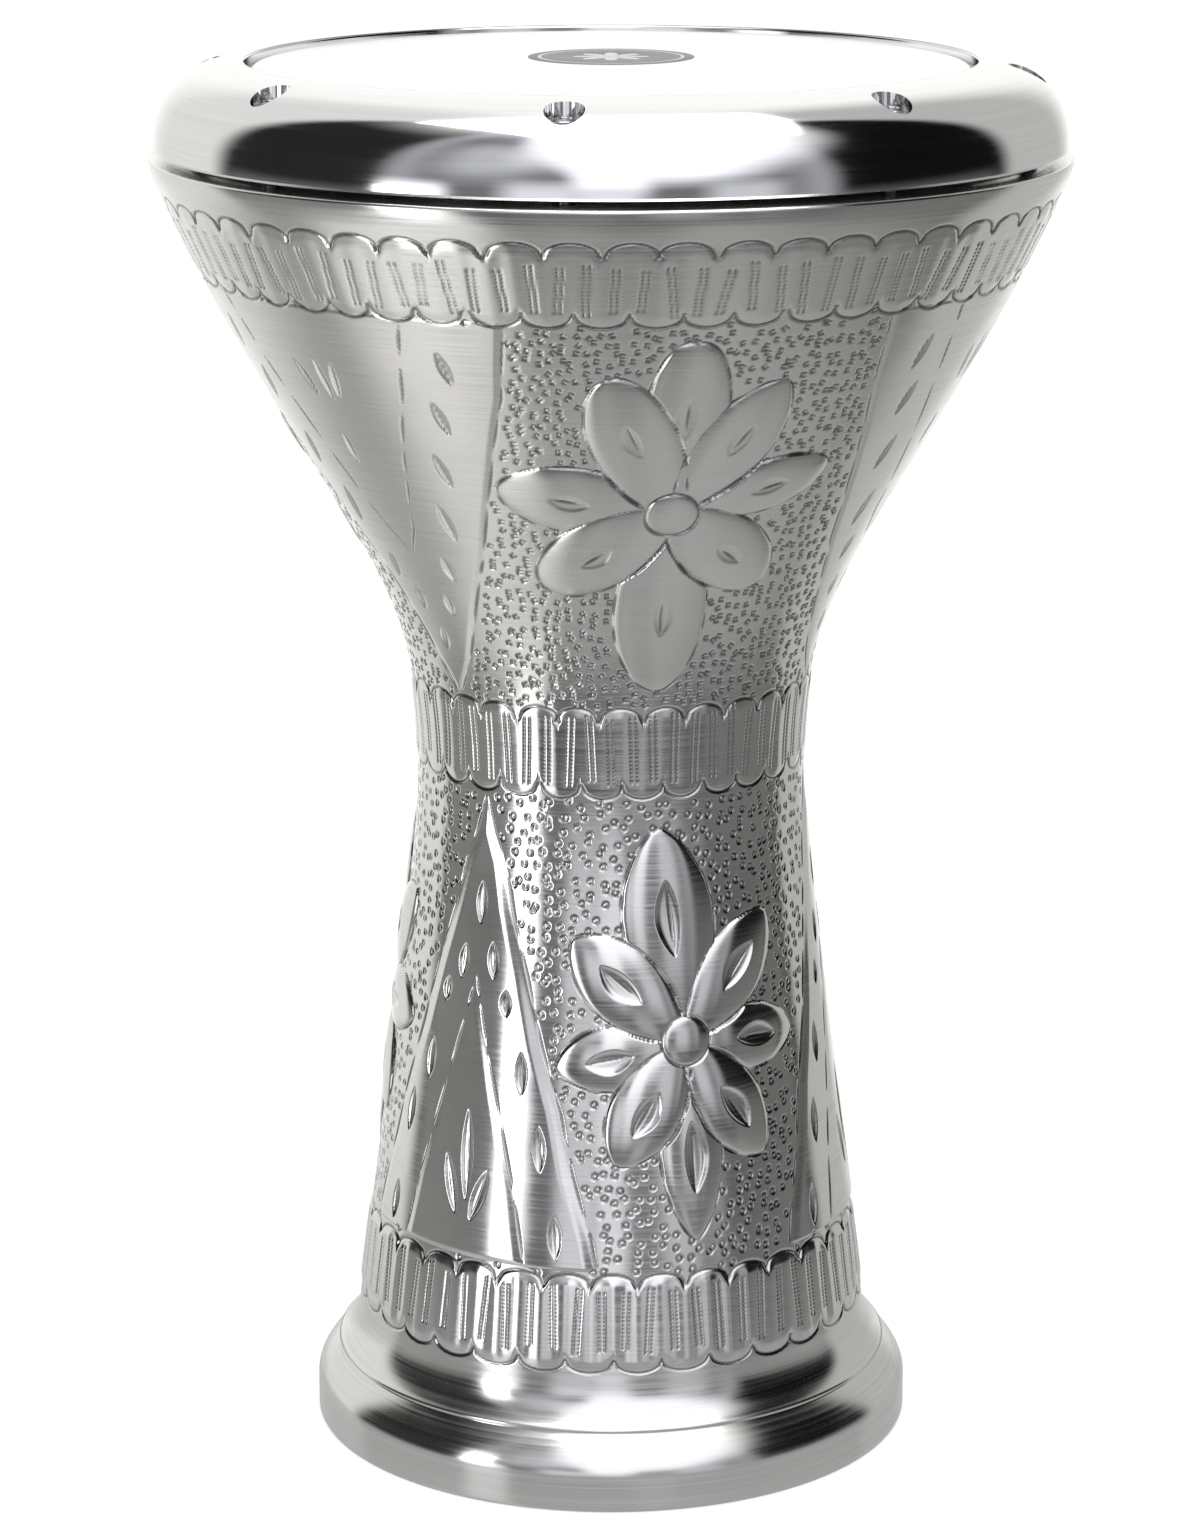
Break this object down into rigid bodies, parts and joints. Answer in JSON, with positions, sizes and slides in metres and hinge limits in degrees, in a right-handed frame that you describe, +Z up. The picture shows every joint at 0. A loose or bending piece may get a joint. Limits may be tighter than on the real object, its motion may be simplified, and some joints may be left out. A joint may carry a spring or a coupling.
{
  "type": "darbuka",
  "caption": "Goblet-shaped hand drum in engraved cast aluminium, with a flared foot, a white head and a rounded clamp ring with recessed tuning screws.",
  "frame": {"origin": "centre of the base, on the surface that the drum stands on", "axes": "+Z up along the goblet's axis, -Y towards the viewer of the ornament"},
  "size_m": [0.2773, 0.2774, 0.428],
  "materials": {
    "shell_aluminium": "cast, turned and polished, with a hand-chased ornament",
    "ring_aluminium": "mirror polished",
    "film_white": "smooth opaque white film",
    "badge_grey": "matt print",
    "hoop_aluminium": "rolled channel",
    "hoop_resin": "set epoxy",
    "screw_steel": "blued and oiled",
    "washer_steel": "zinc plated"
  },
  "bodies": {
    "shell": {"shell": "shell_aluminium", "head_film": "film_white", "head_badge": "badge_grey"},
    "tuning_ring": {"tuning_ring": "ring_aluminium", "head_hoop": "hoop_aluminium", "hoop_resin": "hoop_resin", "head_skirt": "film_white", "washer_1": "washer_steel", "washer_2": "washer_steel", "washer_3": "washer_steel", "washer_4": "washer_steel", "washer_5": "washer_steel", "washer_6": "washer_steel", "washer_7": "washer_steel", "washer_8": "washer_steel"},
    "tuning_bolt_1": {"tuning_bolt_1": "screw_steel"},
    "tuning_bolt_2": {"tuning_bolt_2": "screw_steel"},
    "tuning_bolt_3": {"tuning_bolt_3": "screw_steel"},
    "tuning_bolt_4": {"tuning_bolt_4": "screw_steel"},
    "tuning_bolt_5": {"tuning_bolt_5": "screw_steel"},
    "tuning_bolt_6": {"tuning_bolt_6": "screw_steel"},
    "tuning_bolt_7": {"tuning_bolt_7": "screw_steel"},
    "tuning_bolt_8": {"tuning_bolt_8": "screw_steel"}
  },
  "joints": [
    {"name": "ring_slide", "type": "slide", "parent": "shell", "child": "tuning_ring", "axis": [0, 0, 1], "range_m": [-0.0015, 0.002], "deforming": ["head_skirt"]},
    {"name": "bolt_turn_1", "type": "hinge", "parent": "tuning_ring", "child": "tuning_bolt_1", "pos_m": [-0.01275, -0.12334, 0.4161], "axis": [0, 0, 1], "range_deg": [-540, 720]},
    {"name": "bolt_turn_2", "type": "hinge", "parent": "tuning_ring", "child": "tuning_bolt_2", "pos_m": [0.0782, -0.09623, 0.4161], "axis": [0, 0, 1], "range_deg": [-540, 720]},
    {"name": "bolt_turn_3", "type": "hinge", "parent": "tuning_ring", "child": "tuning_bolt_3", "pos_m": [0.12334, -0.01275, 0.4161], "axis": [0, 0, 1], "range_deg": [-540, 720]},
    {"name": "bolt_turn_4", "type": "hinge", "parent": "tuning_ring", "child": "tuning_bolt_4", "pos_m": [0.09623, 0.0782, 0.4161], "axis": [0, 0, 1], "range_deg": [-540, 720]},
    {"name": "bolt_turn_5", "type": "hinge", "parent": "tuning_ring", "child": "tuning_bolt_5", "pos_m": [0.01275, 0.12334, 0.4161], "axis": [0, 0, 1], "range_deg": [-540, 720]},
    {"name": "bolt_turn_6", "type": "hinge", "parent": "tuning_ring", "child": "tuning_bolt_6", "pos_m": [-0.0782, 0.09623, 0.4161], "axis": [0, 0, 1], "range_deg": [-540, 720]},
    {"name": "bolt_turn_7", "type": "hinge", "parent": "tuning_ring", "child": "tuning_bolt_7", "pos_m": [-0.12334, 0.01275, 0.4161], "axis": [0, 0, 1], "range_deg": [-540, 720]},
    {"name": "bolt_turn_8", "type": "hinge", "parent": "tuning_ring", "child": "tuning_bolt_8", "pos_m": [-0.09623, -0.0782, 0.4161], "axis": [0, 0, 1], "range_deg": [-540, 720]}
  ],
  "couplings": [
    {"joint": "bolt_turn_1", "follows": "ring_slide", "rad_per_m": 6283.2},
    {"joint": "bolt_turn_2", "follows": "ring_slide", "rad_per_m": 6283.2},
    {"joint": "bolt_turn_3", "follows": "ring_slide", "rad_per_m": 6283.2},
    {"joint": "bolt_turn_4", "follows": "ring_slide", "rad_per_m": 6283.2},
    {"joint": "bolt_turn_5", "follows": "ring_slide", "rad_per_m": 6283.2},
    {"joint": "bolt_turn_6", "follows": "ring_slide", "rad_per_m": 6283.2},
    {"joint": "bolt_turn_7", "follows": "ring_slide", "rad_per_m": 6283.2},
    {"joint": "bolt_turn_8", "follows": "ring_slide", "rad_per_m": 6283.2}
  ]
}
